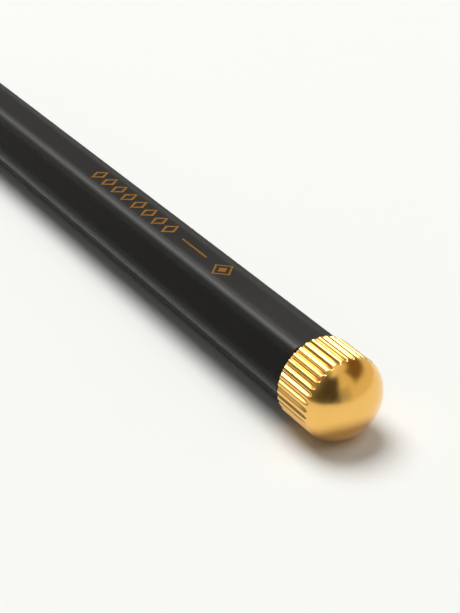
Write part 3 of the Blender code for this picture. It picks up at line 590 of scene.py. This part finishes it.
def make_knob(material):
    """Grooved cap with a domed end, whose columns of points follow each groove to its tip on the dome."""
    half_pitch = math.pi / GROOVES
    first_column = 1.0 / (len(FLANK_COLUMNS) + len(LAND_COLUMNS)) - 1.0
    points = []
    counts = []

    def add_ring(x, radius):
        """A plain round row, or one point where the radius is 0."""
        counts.append(DOME_COLUMNS * GROOVES if radius > 0.0 else 1)
        for k in range(counts[-1]):
            angle = half_pitch * (2 * k / DOME_COLUMNS + first_column)
            points.append(polar(KNOB_BACK + x, radius, angle))

    def add_grooved(x, spread=0.0):
        """A row whose columns follow the grooves."""
        angles, radii = groove_columns(knob_surface(x), groove_floor(x), spread)
        counts.append(len(angles) * GROOVES)
        for groove in range(GROOVES):
            for angle, radius in zip(angles, radii):
                points.append(polar(KNOB_BACK + x, radius, 2 * half_pitch * groove + angle))

    meet = math.pi / 2 - CROWN_SLOPE
    spread_end = math.pi / 2 - SPREAD_SLOPE
    crown = arc((CROWN_CENTRE, 0.0), CROWN_R, 0.0, meet, CROWN_ROWS)
    shoulder = arc((SHOULDER_CENTRE, SHOULDER_CENTRE_R), SHOULDER_R, meet, spread_end, SHOULDER_ROWS)
    add_ring(crown[0][0], 0.0)
    for x, radius in crown[1:] + shoulder[1:]:
        add_ring(x, radius)
    tip = groove_tip()
    even = shoulder[-1][0]
    for share in np.linspace(1.0, 0.0, SPREAD_ROWS + 1)[1:-1]:
        add_grooved(tip + (even - tip) * share, spread=share)
    for x in np.linspace(tip, TOOTH_LENGTH + RIM_BREAK, TIP_ROWS + 1):
        add_grooved(x)
    add_grooved(TOOTH_LENGTH)
    for x in np.linspace(TOOTH_LENGTH - RIM_BREAK, GROOVE_LEVEL, RISE_ROWS):
        add_grooved(x)
    for x in np.linspace(GROOVE_LEVEL, BACK_CHAMFER + RIM_BREAK, STRAIGHT_ROWS)[1:]:
        add_grooved(x)
    add_grooved(BACK_CHAMFER)
    add_grooved(BACK_CHAMFER - RIM_BREAK)
    add_grooved(0.0)
    add_ring(0.0, RECESS_R)
    add_ring(RECESS_FLOOR, RECESS_R)
    add_ring(RECESS_FLOOR, KNOB_SOCKET_R)
    add_ring(SOCKET_FLOOR, KNOB_SOCKET_R)
    add_ring(SOCKET_FLOOR, 0.0)
    knob = new_piece("knob_cap", points, joined_rows(counts, closed=False), "knob", material, KNOB_CRISP)
    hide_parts("twist_knob")


def make_nose(material):
    """Swelling cone with a rounded mouth, a spigot in the barrel and a seat for the spring."""
    base_x = NOSE_BASE_X - NOSE_GAP
    round_x = NOSE_MOUTH_X + MOUTH_ROUND
    flank = []
    for t in np.linspace(0.0, 1.0, NOSE_ROWS + 1):
        straight = NOSE_BASE_R + (MOUTH_R - NOSE_BASE_R) * t
        flank.append((base_x + (round_x - base_x) * t, straight + NOSE_BOW * 4.0 * t * (1.0 - t)))
    lip = arc((round_x, MOUTH_R - MOUTH_ROUND), MOUTH_ROUND, math.pi / 2, math.pi, LIP_ROWS)
    rear = NOSE_HIGH.x
    outline = [
        (rear, SPIGOT_R),
        (base_x, SPIGOT_R),
        (base_x, NOSE_BASE_R - END_BREAK),
        (base_x - END_BREAK, NOSE_BASE_R),
        *flank[1:],
        *lip[1:],
        (NOSE_MOUTH_X, MOUTH_BORE_R),
        (SPRING_SEAT_X, MOUTH_BORE_R),
        (SPRING_SEAT_X, SPRING_BORE_R),
        (NOSE_FLOOR_X, SPRING_BORE_R),
        (NOSE_FLOOR_X, SPIGOT_BORE_R),
        (rear, SPIGOT_BORE_R),
    ]
    nose = turned("nose_shell", outline, "pen_body", material, NOSE_COLUMNS)
    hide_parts("nose_cone")


def make_point(material):
    """Writing point with its cone and the rolled lip that holds the ball."""
    tip = BALL_LOW.x
    ball_r = (BALL_HIGH.x - BALL_LOW.x) / 2
    ball_x = tip + ball_r
    seat_r = ball_r + BALL_GAP
    lip_x = POINT_LOW.x
    lip_r = math.sqrt(seat_r ** 2 - (ball_x - lip_x) ** 2)
    shoulder = tip + POINT_LENGTH
    point_r = POINT_HIGH.y
    seat = arc((ball_x, 0.0), seat_r, math.pi - math.asin(lip_r / seat_r), math.pi / 2, LIP_ROWS)
    outline = [
        (POINT_HIGH.x, POINT_TAIL_R),
        (shoulder, POINT_TAIL_R),
        (shoulder, point_r - END_BREAK),
        (shoulder - END_BREAK, point_r),
        (lip_x + POINT_CONE, point_r),
        (lip_x + END_BREAK, lip_r + SEAT_LIP),
        (lip_x, lip_r + SEAT_LIP - END_BREAK),
        *seat,
        (ball_x + seat_r, seat_r),
        (ball_x + seat_r, INK_CHANNEL_R),
        (POINT_HIGH.x, INK_CHANNEL_R),
    ]
    point = turned("writing_point", outline, "refill", material, POINT_COLUMNS)
    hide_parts("refill_point")


def make_ball(material):
    """The ball, as rows from pole to pole along the pen."""
    radius = (BALL_HIGH.x - BALL_LOW.x) / 2
    middle = (BALL_HIGH.x + BALL_LOW.x) / 2
    rows = arc((middle, 0.0), radius, 0.0, math.pi, BALL_ROWS)
    rows[0] = (rows[0][0], 0.0)
    rows[-1] = (rows[-1][0], 0.0)
    ball = turned("writing_ball", rows, "ball", material, BALL_COLUMNS, crisp=None, closed=False)
    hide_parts("refill_ball")


def make_spring(material):
    """Coil with closed ends."""
    wire = SPRING_WIRE / 2
    radius = SPRING_HIGH.y - wire
    first = SPRING_LOW.x + wire
    last = SPRING_HIGH.x - wire
    steps = SPRING_TURNS * SPRING_STEPS
    dead = SPRING_WIRE * DEAD_PITCH
    live = (last - first - 2 * dead) / (SPRING_TURNS - 2)
    points = []
    for i in range(steps + 1):
        turn = i / SPRING_STEPS
        done = min(turn, 1.0) * dead
        done += min(max(turn - 1.0, 0.0), SPRING_TURNS - 2) * live
        done += max(turn - (SPRING_TURNS - 1), 0.0) * dead
        angle = 2 * math.pi * turn
        middle = Vector(polar(first + done, radius, angle))
        out = Vector((0.0, -math.sin(angle), math.cos(angle)))
        for k in range(WIRE_SIDES):
            swing = 2 * math.pi * k / WIRE_SIDES
            points.append(middle + wire * (out * math.cos(swing) + Vector((math.sin(swing), 0.0, 0.0))))
    faces = [tuple(range(WIRE_SIDES)), tuple(range(steps * WIRE_SIDES, (steps + 1) * WIRE_SIDES))[::-1]]
    for i in range(steps):
        for k in range(WIRE_SIDES):
            a = i * WIRE_SIDES + k
            b = i * WIRE_SIDES + (k + 1) % WIRE_SIDES
            faces.append((a, a + WIRE_SIDES, b + WIRE_SIDES, b))
    spring = new_piece("coil_spring", points, faces, "pen_body", material, SPRING_CRISP)
    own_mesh(spring)
    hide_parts("return_spring")


def lozenge(x, half_length, half_width):
    """Four corners of a lozenge on the pen's middle line."""
    return [(x - half_length, 0.0), (x, -half_width), (x + half_length, 0.0), (x, half_width)]


def make_print(material):
    """Row of open lozenges, a rule and a lozenge with a core, printed on the top flat."""
    top = BARREL_HIGH.z
    points = []
    faces = []

    def add_loop(outer, inner=None):
        """A thin raised shape, with a hole where an inner outline is given."""
        size = len(outer)
        loops = [outer, inner] if inner else [outer]
        first = len(points)
        for loop in loops:
            for z in (top - PRINT_THICKNESS, top + PRINT_THICKNESS):
                points.extend((KNOB_BACK + x, y, z) for x, y in loop)
        for n in range(len(loops)):
            low = first + 2 * n * size
            for k in range(size):
                wall = (low + k, low + (k + 1) % size, low + size + (k + 1) % size, low + size + k)
                faces.append(wall if n == 0 else wall[::-1])
        if not inner:
            faces.append(tuple(range(first + size, first + 2 * size)))
            faces.append(tuple(range(first, first + size))[::-1])
            return
        for level in (0, 1):
            out = first + level * size
            into = first + (2 + level) * size
            for k in range(size):
                quad = (out + k, out + (k + 1) % size, into + (k + 1) % size, into + k)
                faces.append(quad if level else quad[::-1])

    def add_open_lozenge(x, half_length, half_width, line):
        """A lozenge drawn as a line of the given width."""
        add_loop(lozenge(x, half_length, half_width), lozenge(x, half_length - line, half_width - line))

    for x in np.linspace(PRINT_ROW[0], PRINT_ROW[1], PRINT_COUNT):
        add_open_lozenge(x, LOZENGE_HALF_LENGTH, LOZENGE_HALF_WIDTH, LOZENGE_LINE)
    rule = RULE_WIDTH / 2
    add_loop([(RULE_ENDS[0], -rule), (RULE_ENDS[1], -rule), (RULE_ENDS[1], rule), (RULE_ENDS[0], rule)])
    add_open_lozenge(MARK_X, MARK_HALF, MARK_HALF, MARK_LINE)
    add_loop(lozenge(MARK_X, MARK_CORE, MARK_CORE))
    marks = new_piece("barrel_print", points, faces, "pen_body", material, PRINT_CRISP)


def dress_nodes(finishes):
    """Give each carried-over node the finish that the record names for it, shaded as round pieces are."""
    for part in frame["record"]["subparts"]:
        node = frame["nodes"][part["node"]]
        node.data.materials.clear()
        node.data.materials.append(finishes[part["material_slot"]])
        node.data.shade_smooth()
        weld = node.modifiers.new("weld", "WELD")
        weld.merge_threshold = WELD_DISTANCE
        split = node.modifiers.new("split", "EDGE_SPLIT")
        split.split_angle = math.radians(SPLIT_ANGLE)


def direction(azimuth, elevation):
    """Unit vector towards a place round the pen: azimuth 0 is at -Y, 90 at +X."""
    a = math.radians(azimuth)
    e = math.radians(elevation)
    return Vector((math.sin(a) * math.cos(e), -math.cos(a) * math.cos(e), math.sin(e)))


def softbox(name, azimuth, elevation, distance, size, power):
    """A wide round lamp that looks at the pen. Shiny surfaces show the studio's patches in its stead."""
    lamp = bpy.data.lights.new(name, "AREA")
    lamp.shape = "DISK"
    lamp.size = size
    lamp.energy = power
    obj = bpy.data.objects.new(name, lamp)
    obj.location = SUBJECT + direction(azimuth, elevation) * distance
    obj.rotation_euler = (SUBJECT - obj.location).to_track_quat("-Z", "Y").to_euler()
    obj.visible_glossy = False
    bpy.context.scene.collection.objects.link(obj)


def studio_patch(name, azimuths, elevations, fades, distance, shade):
    """A bright or dim glowing patch, far round the pen, that only shiny surfaces show; it gives no diffuse
    light and blocks no light.

    It fades out towards its left, right, lower and upper border, each over a number of degrees.
    """
    left, right, below, above = fades
    points = []
    cover = []
    for elevation in np.linspace(*elevations, PATCH_STEPS + 1):
        for azimuth in np.linspace(*azimuths, PATCH_STEPS + 1):
            points.append(SUBJECT + direction(azimuth, elevation) * distance)
            share = min((azimuth - azimuths[0]) / left, (azimuths[1] - azimuth) / right,
                        (elevation - elevations[0]) / below, (elevations[1] - elevation) / above, 1.0)
            cover.append(share * share * (3.0 - 2.0 * share))
    faces = []
    for row in range(PATCH_STEPS):
        for column in range(PATCH_STEPS):
            a = row * (PATCH_STEPS + 1) + column
            faces.append((a, a + 1, a + PATCH_STEPS + 2, a + PATCH_STEPS + 1))
    mesh = bpy.data.meshes.new(name)
    mesh.from_pydata(points, [], faces)
    mesh.attributes.new("cover", "FLOAT", "POINT").data.foreach_set("value", cover)
    wall = bpy.data.objects.new(name, mesh)
    bpy.context.scene.collection.objects.link(wall)
    material = bpy.data.materials.new(name)
    material.use_nodes = True
    tree = material.node_tree
    tree.nodes.clear()
    glow = tree.nodes.new("ShaderNodeEmission")
    glow.inputs["Color"].default_value = (*shade, 1.0)
    clear = tree.nodes.new("ShaderNodeBsdfTransparent")
    covered = tree.nodes.new("ShaderNodeAttribute")
    covered.attribute_name = "cover"
    mix = tree.nodes.new("ShaderNodeMixShader")
    tree.links.new(covered.outputs["Fac"], mix.inputs[0])
    tree.links.new(clear.outputs[0], mix.inputs[1])
    tree.links.new(glow.outputs[0], mix.inputs[2])
    out = tree.nodes.new("ShaderNodeOutputMaterial")
    tree.links.new(mix.outputs[0], out.inputs["Surface"])
    mesh.materials.append(material)
    wall.visible_camera = False
    wall.visible_diffuse = False
    wall.visible_shadow = False
    wall.visible_transmission = False


def shown_directly(tree):
    """Socket that is 1 for rays that show a thing to the camera, or in something shiny or clear."""
    path = tree.nodes.new("ShaderNodeLightPath")
    seen = path.outputs["Is Camera Ray"]
    for key in ("Is Glossy Ray", "Is Transmission Ray"):
        most = tree.nodes.new("ShaderNodeMath")
        most.operation = "MAXIMUM"
        tree.links.new(seen, most.inputs[0])
        tree.links.new(path.outputs[key], most.inputs[1])
        seen = most.outputs[0]
    return seen


def make_floor():
    """Pale table top under the pen, which runs into the white surround far from it."""
    mesh = bpy.data.meshes.new("floor")
    half = FLOOR_SIZE / 2
    corners = [(-half, -half, 0.0), (half, -half, 0.0), (half, half, 0.0), (-half, half, 0.0)]
    mesh.from_pydata(corners, [], [(0, 1, 2, 3)])
    floor = bpy.data.objects.new("floor", mesh)
    bpy.context.scene.collection.objects.link(floor)
    finish = Finish("floor", FLOOR_COLOR, metallic=0.0, roughness=FLOOR_ROUGHNESS)
    finish.shader.inputs["Specular IOR Level"].default_value = FLOOR_SPECULAR
    away = finish.add("VectorMath", {0: finish.place(), 1: SUBJECT}, operation="DISTANCE").outputs["Value"]
    inputs = {"Value": away, "From Min": FLOOR_FADE[0], "From Max": FLOOR_FADE[1]}
    far = finish.add("MapRange", inputs, interpolation_type="SMOOTHSTEP").outputs[0]
    share = finish.math("MULTIPLY", far, shown_directly(finish.tree))
    glow = finish.add("Emission", {"Color": (*SURROUND_COLOR, 1.0), "Strength": WORLD_SURROUND})
    mix = finish.add("MixShader", {0: share, 1: finish.shader.outputs[0], 2: glow.outputs[0]})
    finish.tree.links.new(mix.outputs[0], finish.tree.nodes["Material Output"].inputs["Surface"])
    mesh.materials.append(finish.material)


def make_world():
    """Even studio light, with a white surround for the camera and for shiny surfaces."""
    world = bpy.data.worlds.new("studio")
    bpy.context.scene.world = world
    world.use_nodes = True
    tree = world.node_tree
    tree.nodes.clear()
    light = tree.nodes.new("ShaderNodeBackground")
    light.inputs["Color"].default_value = (1.0, 1.0, 1.0, 1.0)
    light.inputs["Strength"].default_value = WORLD_LIGHT
    surround = tree.nodes.new("ShaderNodeBackground")
    surround.inputs["Color"].default_value = (*SURROUND_COLOR, 1.0)
    surround.inputs["Strength"].default_value = WORLD_SURROUND
    mix = tree.nodes.new("ShaderNodeMixShader")
    tree.links.new(shown_directly(tree), mix.inputs[0])
    tree.links.new(light.outputs[0], mix.inputs[1])
    tree.links.new(surround.outputs[0], mix.inputs[2])
    out = tree.nodes.new("ShaderNodeOutputWorld")
    tree.links.new(mix.outputs[0], out.inputs["Surface"])


def make_light():
    """The lamps, and the glowing patches that only shiny surfaces show."""
    for lamp in LAMPS:
        softbox(*lamp)
    for patch in STUDIO:
        studio_patch(*patch)


def make_camera():
    """Camera at the photograph's place and angle."""
    data = bpy.data.cameras.new("camera")
    data.sensor_width = SENSOR
    data.lens = FOCAL_PIXELS * SENSOR / IMAGE_HEIGHT
    data.clip_start = CLIP_START
    camera = bpy.data.objects.new("camera", data)
    camera.location = Vector((KNOB_BACK, 0.0, AXIS_Z)) + CAMERA_FROM_KNOB
    camera.rotation_euler = CAMERA_FORWARD.to_track_quat("-Z", "Y").to_euler()
    bpy.context.scene.collection.objects.link(camera)
    bpy.context.scene.camera = camera


finishes = {
    "black_anodised": black_anodised(),
    "gold_plate": gold_plate(),
    "plain_brass": plain_brass(),
    "steel": bright_steel("steel", (0.60, 0.60, 0.61), low=0.22, high=0.34),
    "carbide": bright_steel("carbide", (0.35, 0.35, 0.36), low=0.10, high=0.16),
    "black_plastic": moulded_plastic("black_plastic", (0.03, 0.03, 0.03)),
    "white_plastic": moulded_plastic("white_plastic", (0.80, 0.80, 0.76)),
    "rubber": rubber(),
    "ink": ink(),
}
dress_nodes(finishes)
make_barrel(finishes["black_anodised"])
make_knob(finishes["gold_plate"])
make_nose(finishes["gold_plate"])
make_point(finishes["steel"])
make_ball(finishes["carbide"])
make_spring(finishes["steel"])
make_print(gold_print())
make_floor()
make_world()
make_light()
make_camera()
bpy.context.scene.view_settings.view_transform = "Standard"
